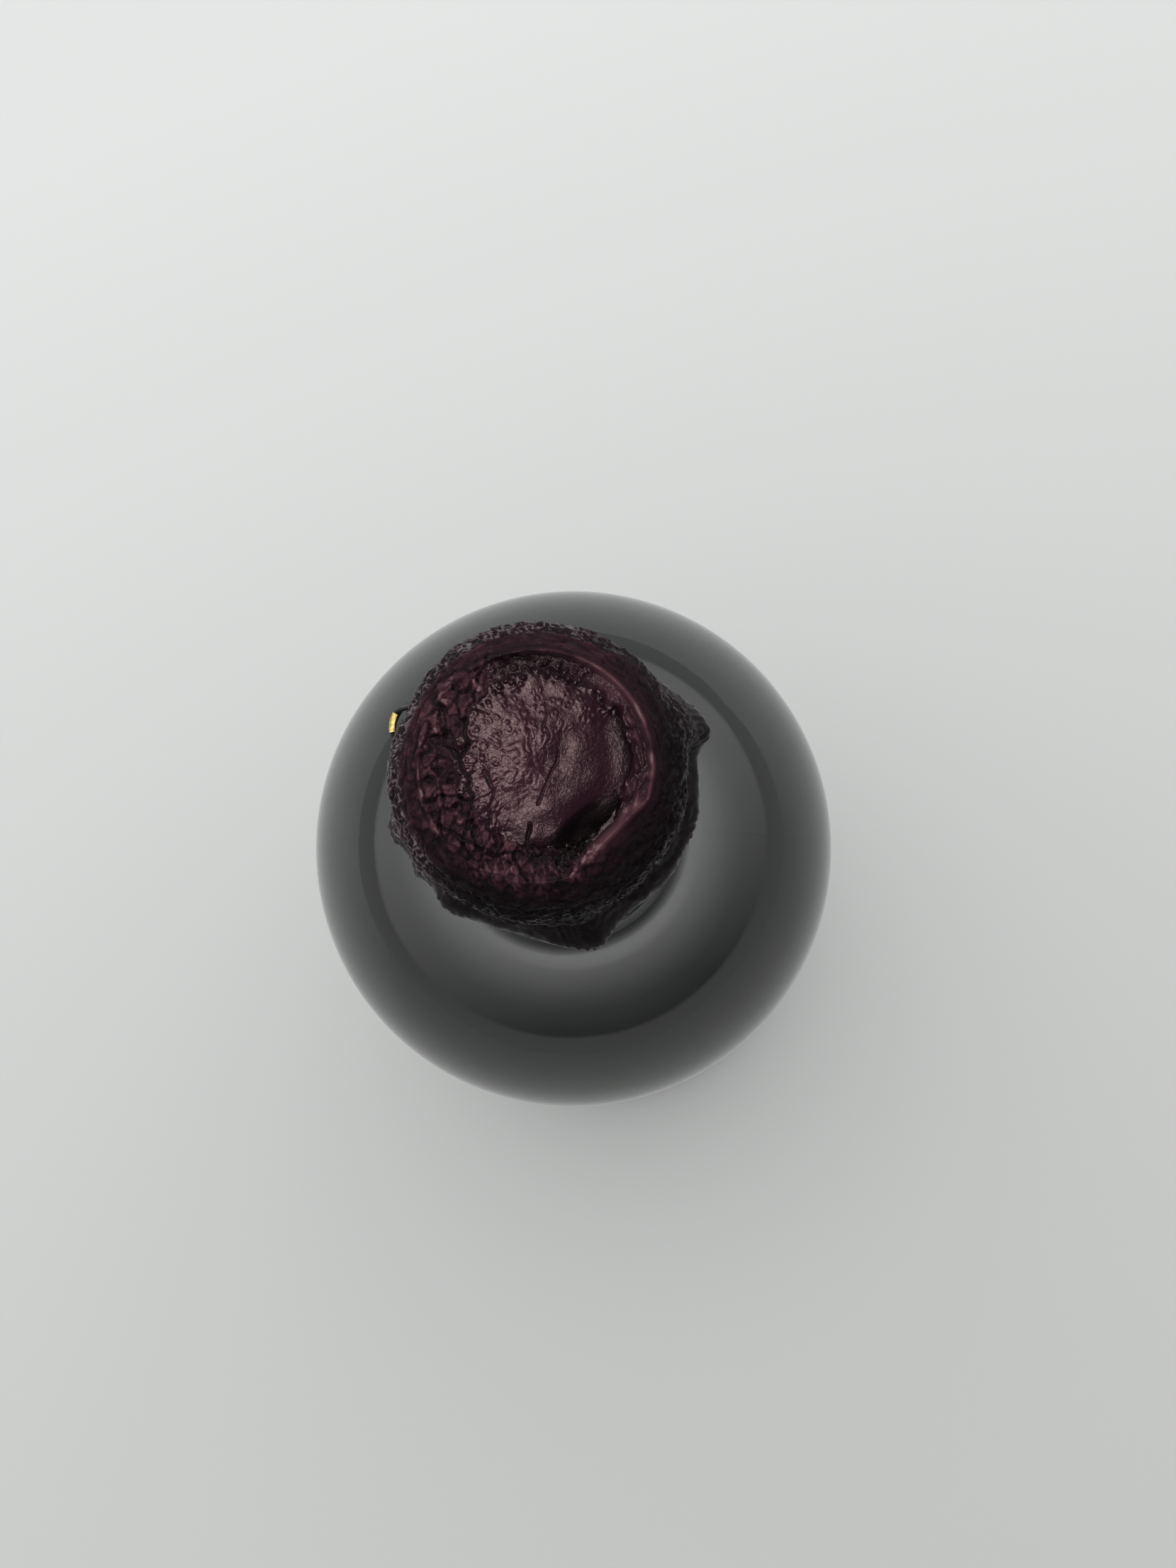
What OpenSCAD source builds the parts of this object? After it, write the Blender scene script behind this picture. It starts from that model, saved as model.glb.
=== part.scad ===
// Wine bottle with a wax seal, a pull strip and its gold clip.
// Millimetres. Z is up and the origin is the middle of the foot.

/* [Glass body] */
// Height of the glass, from the foot to the lip
glass_h = 300; // [240:1:360]
// Outside diameter of the straight body
body_d = 75; // [64:0.5:95]
// Height of the straight body, where the shoulder starts
body_h = 189; // [140:1:230]
// Radius of the round shoulder
shoulder_r = 34; // [24:0.5:42]
// Radius of the round heel
heel_r = 5; // [2:0.5:8]

/* [Punt] */
// Diameter of the punt where it meets the foot
punt_d = 54; // [30:0.5:60]
// Height of the punt's dome
punt_h = 20; // [5:0.5:26]

/* [Neck and lip ring] */
// Radius of the hollow curve from the shoulder to the neck
neck_curve_r = 5; // [3:0.5:30]
// Outside diameter at the foot of the neck
neck_low_d = 28.4; // [24:0.1:34]
// Outside diameter of the neck under the lip ring
neck_top_d = 27; // [24:0.1:30]
// Outside diameter of the lip ring
ring_d = 29.5; // [28:0.1:36]
// Height of the lip ring
ring_h = 8; // [4:0.5:14]
// Rounding of the lip ring's upper edge
ring_round = 2; // [0.5:0.1:3]

/* [Wax seal] */
// Thickness of the wax on the sides
wax_t = 1.6; // [0.8:0.1:3]
// Thickness of the wax over the lip
wax_top_t = 1.2; // [0.6:0.1:3]
// How far the wax reaches below the lip, without its runs
wax_drop = 42; // [20:1:60]
// Thickness of the wax at its lower edge
wax_edge_t = 0.8; // [0.4:0.1:2]
// Height of the ridge round the top
ridge_h = 0.5; // [0:0.05:1]
// Rise of the wax over the cork
dome_h = 0.3; // [0:0.05:1]
// How far the band over the strip stands out past the wax on the lip ring
band_out = 0.55; // [0:0.05:2]
// Depth of the band's middle below the lip
band_down = 14.5; // [12:0.5:24]
// Depth of the crease between the lip ring and the band
crease_in = 0.3; // [0:0.05:0.6]
// Distance from the axis to the straight fold across the ridge
fold_dist = 11.2; // [9:0.1:14]
// Direction of the straight fold, in degrees from +X
fold_dir = -45; // [-180:1:180]

/* [Pull strip and clip] */
// Thickness of the strip
strip_t = 0.4; // [0.3:0.05:0.8]
// Width of the strip, which stands upright
strip_w = 3; // [1.5:0.1:5]
// How far the strip's loop stands out of the band
strip_out = 1.6; // [0.8:0.05:4]
// How deep the strip's ends lie in the band
strip_sunk = 1.2; // [0.8:0.05:1.6]
// Direction in which the loop starts, in degrees from +X
strip_from = 135.5; // [0:0.5:360]
// Angle that the loop spans
strip_span = 35.5; // [24:0.5:60]
// Wall of the gold clip
clip_wall = 0.12; // [0.1:0.02:0.3]
// How far the clip reaches down the strip
clip_w = 1.1; // [0.5:0.1:2]

/* [Smoothness] */
// Points round the wax
wax_steps = 96; // [48:12:120]
// Facets of the round glass
glass_steps = 96; // [48:12:180]

/* [Hidden] */
inside = 2;                      // how far the wax's lower face reaches into the glass
body_r = body_d / 2;
ring_r = ring_d / 2;
ring_z = glass_h - ring_h;

// The shoulder's circle and the neck's hollow curve touch at join_r, join_z.
shoulder_x = body_r - shoulder_r;
curve_x = neck_low_d / 2 + neck_curve_r;
curve_z = body_h + sqrt(pow(shoulder_r + neck_curve_r, 2) - pow(curve_x - shoulder_x, 2));
join_part = shoulder_r / (shoulder_r + neck_curve_r);
join_r = shoulder_x + (curve_x - shoulder_x) * join_part;
join_z = body_h + (curve_z - body_h) * join_part;

// Radius of the glass neck, shoulder or body at height z, without the lip ring
function mix(a, b, f) = a + (b - a) * f;
function neck_r(z) = mix(neck_low_d, neck_top_d, (z - curve_z) / (ring_z - curve_z)) / 2;
function curve_r(z) = curve_x - sqrt(pow(neck_curve_r, 2) - pow(z - curve_z, 2));
function shoulder_at(z) = shoulder_x + sqrt(pow(shoulder_r, 2) - pow(z - body_h, 2));
function glass_r(z) =
    z > curve_z ? neck_r(z)
    : z > join_z ? curve_r(z)
    : z > body_h ? shoulder_at(z)
    : body_r;

// Swellings where the wax ran, and the hollow behind the strip's loop: direction, how far it
// stands out, its width in degrees towards larger and smaller angles, its depth below the
// lip and its reach up and down, and how far it runs past the lower edge
RUNS = [
    [16.5, 2.7, 18, 5, 12, 5, 8, 9],
    [-72, 2.2, 8, 16, 15, 6, 9, 14],
    [-20, 1.2, 45, 90, 15, 3.2, 5, 0],
    [-126, 1.1, 9, 8, 15, 4, 8, 6],
    [217, 0.9, 4, 5, 12, 5, 6, 2],
    [200, 1.5, 7, 8, 12, 5, 9, 11],
    [178, 0.4, 5, 6, 10, 5, 7, 3],
    [154, -1, 16, 14, 9, 9, 9, 0],
    [105, 1.3, 8, 7, 12, 5, 8, 7],
    [62, 0.4, 12, 12, 20, 9, 12, 10],
];
run_width = 9;                   // half width of a run below the edge, in degrees
function turn(a, b) = (a - b + 900) % 360 - 180;
function bell(d, plus, minus) = exp(-pow(d / (d > 0 ? plus : minus), 2));
function run_out(run, a, z) =
    run[1] * bell(turn(a, run[0]), run[2], run[3]) * bell(z - (glass_h - run[4]), run[5], run[6]);
function run_down(run, a) = run[7] * exp(-pow(abs(turn(a, run[0])) / run_width, 3));
function total(list, i = 0) = i < len(list) ? list[i] + total(list, i + 1) : 0;

// The wax's outside: its radius at direction a and height z, and its lower edge
wax_ring_r = ring_r + wax_t;
band_r = wax_ring_r + band_out;
band_z = glass_h - band_down;
crease_z = ring_z - wax_t / 2;
CREASE_FALL = 1.5;               // how soon the lip ring's wax falls to the neck's
CREASE_WIDE = 0.7;
BAND_UP = 3;                     // reach of the band above and below its middle
BAND_LOW = 4;
function lumps(a, z) = 0.09 * sin(5 * a + 6 * z) + 0.07 * sin(9 * a - 11 * z);
function wax_even_r(z) =
    let (neck = glass_r(z) + wax_t)
    let (fall = exp(-pow(min(z - crease_z, 0) / CREASE_FALL, 2)))
    let (band = max(band_r - neck, 0) * bell(z - band_z, BAND_UP, BAND_LOW))
    mix(neck, wax_ring_r, fall) + (1 - fall) * band
    - crease_in * exp(-pow((z - crease_z) / CREASE_WIDE, 2));
function wax_r(a, z) = wax_even_r(z) + lumps(a, z) + total([for (run = RUNS) run_out(run, a, z)]);
EDGE_WAVE = 1.5;                 // how much the lower edge rises and falls between the runs
function edge_z(a) =
    glass_h - wax_drop - EDGE_WAVE * sin(3 * a + 40) - total([for (run = RUNS) run_down(run, a)]);

// The ridge is a circle that the straight fold cuts short.
wax_top_z = glass_h + wax_top_t;
lip_r = ring_r - ring_round;
function fold_r(a) = fold_dist / max(cos(turn(a, fold_dir)), 0.01);
function ridge_r(a) = min(lip_r, fold_r(a));
land_from = 0.72;                // where the flat over the lip starts, as a share of the ridge
RIDGE_WIDE = 0.07;               // half width of the ridge, as a share of its radius
function top_z(f) =
    wax_top_z
    + dome_h * max(0, 1 - pow(f / land_from, 2))
    + ridge_h * exp(-pow((f - 1) / RIDGE_WIDE, 2));

// Rings of points from the middle of the top down to the lower edge
TOP = [0.2, 0.4, 0.58, land_from, 0.82, 0.92, 1];
ROLL = [for (i = [1:5]) 18 * i];
ROLL_MORE = 2.5;                 // how much more height the roll takes than the glass's rounding
roll_z = wax_top_z - ring_round - ROLL_MORE;
BAND = [for (i = [1:3]) mix(roll_z, crease_z, i / 3)];
SKIRT_RINGS = 22;
function polar(r, a, z) = [r * cos(a), r * sin(a), z];
function roll_point(a, t) =
    polar(mix(ridge_r(a), wax_r(a, roll_z), sin(t)), a, mix(roll_z, top_z(1), cos(t)));
function skirt_point(a, f) =
    let (z = mix(crease_z, edge_z(a), f), thin = (wax_t - wax_edge_t) * pow(f, 6))
    polar(wax_r(a, z) - thin, a, z);
function edge_point(a, depth) = polar(glass_r(edge_z(a)) - depth, a, edge_z(a) - 0.1);
function around(f) = [for (k = [0:wax_steps - 1]) f(360 * k / wax_steps)];
wax_rings = [
    for (f = TOP) around(function(a) polar(ridge_r(a) * f, a, top_z(f))),
    for (t = ROLL) around(function(a) roll_point(a, t)),
    for (z = BAND) around(function(a) polar(wax_r(a, z), a, z)),
    for (i = [1:SKIRT_RINGS]) around(function(a) skirt_point(a, i / SKIRT_RINGS)),
    around(function(a) edge_point(a, inside)),
];

// A closed skin over rings of points, with a middle point at each end
module skin(rings, first, last) {
    n = len(rings[0]);
    count = len(rings);
    top = n * count;
    polyhedron(
        points = [for (ring = rings) each ring, first, last],
        faces = [
            for (k = [0:n - 1]) [top, (k + 1) % n, k],
            for (j = [0:count - 2], k = [0:n - 1])
                let (a = j * n + k, b = j * n + (k + 1) % n)
                each [[a, b, b + n], [a, b + n, a + n]],
            for (k = [0:n - 1]) [top + 1, (count - 1) * n + k, (count - 1) * n + (k + 1) % n],
        ]
    );
}

// The strip's middle line bows out of the wax, with its crest past the middle of the span.
strip_steps = 32;
strip_skew = 1.3;
strip_in_r = band_r - strip_sunk;
strip_crest_r = band_r + strip_out - strip_t / 2;
strip_top = band_z + strip_w / 2;
CLIP_FROM = 18;                  // steps of the strip that the clip covers
CLIP_TO = 24;
function strip_point(i) =
    let (t = i / strip_steps, a = strip_from + strip_span * t)
    let (r = mix(strip_in_r, strip_crest_r, sin(180 * pow(t, strip_skew))))
    [r * cos(a), r * sin(a)];
function strip_along(i) =
    strip_point(min(i + 1, strip_steps)) - strip_point(max(i - 1, 0));
function strip_side(i, off) =
    let (along = strip_along(i))
    strip_point(i) + off / norm(along) * [along[1], -along[0]];

// Outline of the strip from step i0 to step i1, at a thickness
module strip_outline(i0, i1, thick) {
    polygon([
        for (i = [i0:i1]) strip_side(i, thick / 2),
        for (i = [i1:-1:i0]) strip_side(i, -thick / 2),
    ]);
}

module glass_profile() {
    // core that every stretch below shares
    square([neck_top_d / 2 - 1, glass_h - 1]);
    // straight body on its round heel
    translate([0, heel_r]) square([body_r, body_h - heel_r]);
    square([body_r - heel_r, body_h]);
    translate([body_r - heel_r, heel_r]) circle(heel_r);
    // round shoulder up to the join
    intersection() {
        translate([shoulder_x, body_h]) circle(shoulder_r);
        translate([0, body_h]) square([body_r, join_z - body_h]);
    }
    // hollow curve up to the neck
    difference() {
        translate([0, join_z]) square([join_r, curve_z - join_z]);
        translate([curve_x, curve_z]) circle(neck_curve_r);
    }
    // neck
    polygon([[0, curve_z], [neck_r(curve_z), curve_z], [neck_r(ring_z), ring_z], [0, ring_z]]);
    // lip ring with its rounded upper edge
    translate([0, ring_z]) square([ring_r, ring_h - ring_round]);
    translate([0, ring_z]) square([lip_r, ring_h]);
    translate([lip_r, glass_h - ring_round]) circle(ring_round);
}

module glass_solid() {
    punt_r = (pow(punt_d / 2, 2) + pow(punt_h, 2)) / (2 * punt_h);
    difference() {
        rotate_extrude($fn = glass_steps) glass_profile($fn = glass_steps);
        translate([0, 0, punt_h - punt_r]) sphere(punt_r, $fn = glass_steps);
    }
}

module strip_solid() {
    translate([0, 0, strip_top - strip_w])
        linear_extrude(strip_w) strip_outline(0, strip_steps, strip_t);
}

module bottle() {
    color([0.07, 0.1, 0.08]) glass_solid();
}

module wax_seal() {
    color([0.24, 0.12, 0.15])
    difference() {
        skin(wax_rings, [0, 0, top_z(0)], [0, 0, crease_z]);
        glass_solid();
        strip_solid();
    }
}

module pull_strip() {
    color([0.05, 0.05, 0.05]) strip_solid();
}

module gold_clip() {
    color([0.83, 0.68, 0.3])
    difference() {
        translate([0, 0, strip_top - clip_w])
            linear_extrude(clip_w + clip_wall)
                strip_outline(CLIP_FROM, CLIP_TO, strip_t + 2 * clip_wall);
        strip_solid();
    }
}

bottle();
wax_seal();
pull_strip();
gold_clip();
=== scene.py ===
# %% [markdown]
# # A wine bottle dipped in wax
#
# This lesson dresses a shut wine bottle: a dark glass bottle, the wine that fills it, the
# wrinkled wax over its mouth, a thin pull strip and a small gold clip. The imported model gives
# the sizes and places. Everything here is in metres, with Z up and the foot's middle at the
# origin, and the small shapes are worked out in millimetres and scaled once.

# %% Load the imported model
import math

import bmesh
import bpy
from mathutils import Matrix, Vector, noise


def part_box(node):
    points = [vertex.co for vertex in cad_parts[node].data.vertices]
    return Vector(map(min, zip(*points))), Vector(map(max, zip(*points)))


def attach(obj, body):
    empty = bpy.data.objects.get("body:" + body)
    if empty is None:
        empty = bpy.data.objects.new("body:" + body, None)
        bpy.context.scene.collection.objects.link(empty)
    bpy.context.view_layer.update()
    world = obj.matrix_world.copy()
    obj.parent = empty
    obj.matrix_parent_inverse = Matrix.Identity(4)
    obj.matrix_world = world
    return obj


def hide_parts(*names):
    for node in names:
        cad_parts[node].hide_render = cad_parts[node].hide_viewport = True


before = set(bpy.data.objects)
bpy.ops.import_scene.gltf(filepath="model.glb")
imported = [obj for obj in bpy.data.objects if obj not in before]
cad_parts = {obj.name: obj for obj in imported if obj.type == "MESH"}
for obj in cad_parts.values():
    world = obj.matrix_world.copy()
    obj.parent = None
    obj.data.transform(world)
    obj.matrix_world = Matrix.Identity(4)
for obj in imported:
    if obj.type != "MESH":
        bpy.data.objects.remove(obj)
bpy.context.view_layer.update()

MM = 0.001
print("nodes:", sorted(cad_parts))

# %% [markdown]
# ## Sizes that everything shares
#
# The glass node's box gives the height of the lip and the width of the body. The rest are the
# bottle's own drawing sizes: the round shoulder, the hollow curve that leads into the neck,
# and the lip ring. A glassmaker's drawing has the same few numbers.

# %% Read the sizes from the frame
glass_low, glass_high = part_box("bottle")
GLASS_H = glass_high.z / MM
BODY_R = glass_high.x / MM
BODY_H = 189.0
SHOULDER_R = 34.0
NECK_CURVE_R = 5.0
NECK_LOW_R = 14.2
NECK_TOP_R = 13.5
RING_R = 14.75
RING_H = 8.0
RING_ROUND = 2.0
RING_Z = GLASS_H - RING_H
SHOULDER_X = BODY_R - SHOULDER_R
CURVE_X = NECK_LOW_R + NECK_CURVE_R
CURVE_Z = BODY_H + math.sqrt((SHOULDER_R + NECK_CURVE_R) ** 2 - (CURVE_X - SHOULDER_X) ** 2)
JOIN = SHOULDER_R / (SHOULDER_R + NECK_CURVE_R)
JOIN_R = SHOULDER_X + (CURVE_X - SHOULDER_X) * JOIN
JOIN_Z = BODY_H + (CURVE_Z - BODY_H) * JOIN
print(f"glass {GLASS_H:.1f} high, {2 * BODY_R:.1f} across, neck from {CURVE_Z:.1f}")

# %% [markdown]
# ## Small helpers
#
# `mix`, `ease` and `hump` are the three curves used all through: a straight blend, a soft step,
# and a soft hill that is 1 in its middle. `add_piece` turns a finished bmesh into an object that
# rides on the bottle's only body.

# %% Define the helpers
def mix(a, b, share):
    return a + (b - a) * share


def ease(value, low, high):
    share = min(max((value - low) / (high - low), 0.0), 1.0)
    return share * share * (3 - 2 * share)


def hump(away, half, power=2):
    return math.exp(-(away / half) ** power)


def add_piece(name, bm, material, node):
    mesh = bpy.data.meshes.new(name)
    bm.to_mesh(mesh)
    bm.free()
    mesh.shade_smooth()
    mesh.materials.append(material)
    piece = bpy.data.objects.new(name, mesh)
    bpy.context.scene.collection.objects.link(piece)
    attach(piece, "root")
    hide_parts(node)
    print(name, len(mesh.polygons), "faces, finish", material.name)


print("half of a soft step:", ease(0.5, 0.0, 1.0), "and the top of a hump:", hump(0.0, 1.0))

# %% [markdown]
# ## Material tools
#
# Each finish below is a Principled shader whose colour, roughness and bump come from
# procedural patterns on Object coordinates, so a pattern stays fixed to the piece. Short helpers
# keep the node code readable. They start a material, measure how far a place lies along a
# direction, add noise or cells at a size in millimetres, read a value kept with the mesh, and
# turn a pattern into colours, numbers or a bump.

# %% Define the node helpers
def new_material(name):
    material = bpy.data.materials.new(name)
    material.use_nodes = True
    tree = material.node_tree
    shader = tree.nodes["Principled BSDF"]
    place = tree.nodes.new("ShaderNodeTexCoord").outputs["Object"]
    return material, tree, shader, place


def add_along(tree, place, way):
    along = tree.nodes.new("ShaderNodeVectorMath")
    along.operation = "DOT_PRODUCT"
    along.inputs[1].default_value = way
    tree.links.new(place, along.inputs[0])
    return along.outputs["Value"]


def add_noise(tree, place, size_mm, detail=3.0, rough=0.5, warp=0.0):
    pattern = tree.nodes.new("ShaderNodeTexNoise")
    pattern.inputs["Scale"].default_value = 1000.0 / size_mm
    pattern.inputs["Detail"].default_value = detail
    pattern.inputs["Roughness"].default_value = rough
    pattern.inputs["Distortion"].default_value = warp
    tree.links.new(place, pattern.inputs["Vector"])
    return pattern.outputs["Fac"]


def add_ramp(tree, pattern, stops):
    ramp = tree.nodes.new("ShaderNodeValToRGB")
    elements = ramp.color_ramp.elements
    while len(elements) < len(stops):
        elements.new(0.5)
    for element, (at, colour) in zip(elements, stops):
        element.position = at
        element.color = (*colour, 1.0)
    tree.links.new(pattern, ramp.inputs["Fac"])
    return ramp.outputs["Color"]


def add_range(tree, pattern, low, high, to_low, to_high):
    span = tree.nodes.new("ShaderNodeMapRange")
    sockets = ("From Min", "From Max", "To Min", "To Max")
    for socket, value in zip(sockets, (low, high, to_low, to_high)):
        span.inputs[socket].default_value = value
    tree.links.new(pattern, span.inputs["Value"])
    return span.outputs["Result"]


def add_cells(tree, place, size_mm, flat=1.0):
    squash = tree.nodes.new("ShaderNodeMapping")
    squash.inputs["Scale"].default_value = (1, 1, flat)
    tree.links.new(place, squash.inputs["Vector"])
    pattern = tree.nodes.new("ShaderNodeTexVoronoi")
    pattern.feature = "DISTANCE_TO_EDGE"
    pattern.inputs["Scale"].default_value = 1000.0 / size_mm
    tree.links.new(squash.outputs["Vector"], pattern.inputs["Vector"])
    return pattern.outputs["Distance"]


def add_attribute(tree, name):
    painted = tree.nodes.new("ShaderNodeAttribute")
    painted.attribute_name = name
    return painted.outputs["Fac"]


def add_blend(tree, share, first, second):
    blend = tree.nodes.new("ShaderNodeMix")
    blend.data_type = "RGBA"
    for socket, source in ((0, share), (6, first), (7, second)):
        tree.links.new(source, blend.inputs[socket])
    return blend.outputs[2]


def add_bump(tree, pattern, depth_mm, before=None, share=None):
    bump = tree.nodes.new("ShaderNodeBump")
    bump.inputs["Strength"].default_value = 1.0
    if share is not None:
        tree.links.new(share, bump.inputs["Strength"])
    bump.inputs["Distance"].default_value = depth_mm * MM
    tree.links.new(pattern, bump.inputs["Height"])
    if before is not None:
        tree.links.new(before, bump.inputs["Normal"])
    return bump.outputs["Normal"]


print("a pattern of 0.5 mm has a scale of", 1000.0 / 0.5)

# %% [markdown]
# ## The glass
#
# Dark bottle glass is green from iron and chromium in the melt, and so deep that a full bottle
# looks nearly black. It could be a black plastic finish, but a real glass wall lets a little
# light through, which shows along its outline. So it is a transmissive shader with a deep grey
# green colour. The mould leaves a faint waviness and a low seam down two sides, as bumps.

# %% Make the glass finish
SEAM_HALF = 0.0004


def make_glass():
    material, tree, shader, place = new_material("dark_glass")
    shader.inputs["Base Color"].default_value = (0.079, 0.1, 0.088, 1)
    shader.inputs["Transmission Weight"].default_value = 0.96
    shader.inputs["IOR"].default_value = 1.6
    waves = add_noise(tree, place, 14.0, detail=1.0)
    grain = add_noise(tree, place, 2.2, detail=2.0)
    normal = add_bump(tree, waves, 0.05)
    normal = add_bump(tree, grain, 0.002, normal)
    away = tree.nodes.new("ShaderNodeMath")
    away.operation = "ABSOLUTE"
    tree.links.new(add_along(tree, place, (0, 1, 0)), away.inputs[0])
    seam = add_range(tree, away.outputs["Value"], 0.0, SEAM_HALF, 1.0, 0.0)
    normal = add_bump(tree, seam, 0.02, normal)
    tree.links.new(normal, shader.inputs["Normal"])
    tree.links.new(add_range(tree, grain, 0.3, 0.7, 0.02, 0.06), shader.inputs["Roughness"])
    return material


dark_glass = make_glass()
print(dark_glass.name, "has", len(dark_glass.node_tree.nodes), "nodes")

# %% [markdown]
# ## The glass outline
#
# A bottle is a turned shape, so its outline is drawn once and spun. The outline is a chain of
# straight runs and arcs: foot, heel, body, shoulder, neck curve, neck and lip ring. `arc`
# gives the points of a round stretch, and `glass_r` tells how wide the glass is at a height,
# which the wax needs later.

# %% Draw the outline
def arc(x, z, radius, start, end, steps):
    angles = [math.radians(mix(start, end, i / steps)) for i in range(steps + 1)]
    return [(x + radius * math.cos(t), z + radius * math.sin(t)) for t in angles]


def neck_r(z):
    return mix(NECK_LOW_R, NECK_TOP_R, (z - CURVE_Z) / (RING_Z - CURVE_Z))


def glass_r(z):
    if z > CURVE_Z:
        return neck_r(z)
    if z > JOIN_Z:
        return CURVE_X - math.sqrt(NECK_CURVE_R ** 2 - (z - CURVE_Z) ** 2)
    if z > BODY_H:
        return SHOULDER_X + math.sqrt(SHOULDER_R ** 2 - (z - BODY_H) ** 2)
    return BODY_R


HEEL_R = 5.0
PUNT_R = 27.0
PUNT_H = 20.0
FOOT_ROUND = 1.5
dome_r = (PUNT_R ** 2 + PUNT_H ** 2) / (2 * PUNT_H)
dome_edge = math.degrees(math.asin(PUNT_R / dome_r))
join_angle = math.degrees(math.atan2(JOIN_Z - BODY_H, JOIN_R - SHOULDER_X))

outer = []
outer += arc(0, PUNT_H - dome_r, dome_r, 90, 90 - dome_edge + 3, 20)
outer += arc(PUNT_R + FOOT_ROUND, FOOT_ROUND, FOOT_ROUND, 200, 270, 5)
outer += arc(BODY_R - HEEL_R, HEEL_R, HEEL_R, -90, 0, 12)
outer += [(BODY_R, mix(HEEL_R, BODY_H, i / 12)) for i in range(1, 12)]
outer += arc(SHOULDER_X, BODY_H, SHOULDER_R, 0, join_angle, 28)
outer += arc(CURVE_X, CURVE_Z, NECK_CURVE_R, 180 + join_angle, 180, 20)[1:]
outer += [(neck_r(mix(CURVE_Z, RING_Z, i / 8)), mix(CURVE_Z, RING_Z, i / 8)) for i in range(1, 9)]
outer += [(RING_R, RING_Z), (RING_R, GLASS_H - RING_ROUND)]
outer += arc(RING_R - RING_ROUND, GLASS_H - RING_ROUND, RING_ROUND, 10, 90, 6)
outer += [(0.0, GLASS_H)]
print(len(outer), "points in the outline")

# %% [markdown]
# ## Spin the glass
#
# The bottle is shut, so its glass can be a closed shell: the outline outside, and an inner
# wall that the wine fills. Both are spun with the same short function. The wall is about
# 3 mm at the sides and thicker at the foot and the neck, as in a moulded bottle.

# %% Spin the bottle's glass
ROUND_STEPS = 192
WALL = 2.8
NECK_EXTRA = 0.6
BORE_LOW_R = 9.6
BORE_TOP_R = 9.4
LIP_CAP = 2.0


def spin_outline(bm, points, steps=ROUND_STEPS):
    chain = [bm.verts.new((x * MM, 0.0, z * MM)) for x, z in points]
    edges = [bm.edges.new(pair) for pair in zip(chain, chain[1:])]
    bmesh.ops.spin(bm, geom=chain + edges, cent=(0, 0, 0), axis=(0, 0, 1), angle=math.tau,
                   steps=steps, use_merge=True)
    bmesh.ops.remove_doubles(bm, verts=bm.verts[:], dist=1e-6)
    bmesh.ops.recalc_face_normals(bm, faces=bm.faces[:])


def inner_outline(wall):
    base_z = PUNT_H + wall
    points = arc(0, base_z - dome_r, dome_r, 90, 90 - dome_edge + 14, 14)
    points += arc(BODY_R - HEEL_R - wall, HEEL_R + wall + 3, HEEL_R, -80, 0, 8)
    points += arc(SHOULDER_X, BODY_H, SHOULDER_R - wall, 0, join_angle, 20)
    points += arc(CURVE_X, CURVE_Z, NECK_CURVE_R + wall, 180 + join_angle, 180, 14)[1:]
    points += [(neck_r(CURVE_Z) - wall - NECK_EXTRA, mix(CURVE_Z, RING_Z, 0.3))]
    top_z = GLASS_H - LIP_CAP
    return points + [(BORE_LOW_R, RING_Z), (BORE_TOP_R, top_z), (0.0, top_z)]


glass_bm = bmesh.new()
spin_outline(glass_bm, outer)
hollow_bm = bmesh.new()
spin_outline(hollow_bm, inner_outline(WALL))
bmesh.ops.reverse_faces(hollow_bm, faces=hollow_bm.faces[:])
hollow = bpy.data.meshes.new("hollow")
hollow_bm.to_mesh(hollow)
hollow_bm.free()
glass_bm.from_mesh(hollow)
add_piece("glass", glass_bm, dark_glass, "bottle")

# %% [markdown]
# ## The wine
#
# Red wine in a bottle this wide lets almost no light through. It could be a clear liquid that
# absorbs light, but that renders slowly and looks the same, so it is a dark opaque body. Its
# colour has a little green, since it is only seen through the green wall. It reaches a fifth of
# a millimetre into the wall, so that no gap of air shows between the two, and it also takes the
# place of the cork, which the wax hides.

# %% Make the wine
INTO_WALL = 0.2
WINE_STEPS = 128


def make_wine():
    material, tree, shader, place = new_material("red_wine")
    cloud = add_noise(tree, place, 30.0, detail=2.0)
    colour = add_ramp(tree, cloud, [(0.3, (0.017, 0.024, 0.020)), (0.7, (0.022, 0.030, 0.025))])
    tree.links.new(colour, shader.inputs["Base Color"])
    shader.inputs["Roughness"].default_value = 0.6
    shader.inputs["Specular IOR Level"].default_value = 0.1
    return material


wine_bm = bmesh.new()
spin_outline(wine_bm, inner_outline(WALL - INTO_WALL), WINE_STEPS)
add_piece("wine", wine_bm, make_wine(), "bottle")

# %% [markdown]
# ## The wax: its even shape
#
# The mouth was dipped in soft wax, which wrinkled as it cooled and ran down in a few places.
# The wax could be sculpted by hand, but a rule for each feature keeps it adjustable. It starts
# as a flat disc of rings. `wax_base` lays each ring over the lip and down the neck, and a
# second step adds the relief. A run is a direction, how far it stands out, its width towards
# larger and smaller angles, its depth below the lip, its reach up and down, and how far it runs
# past the lower edge.

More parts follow.
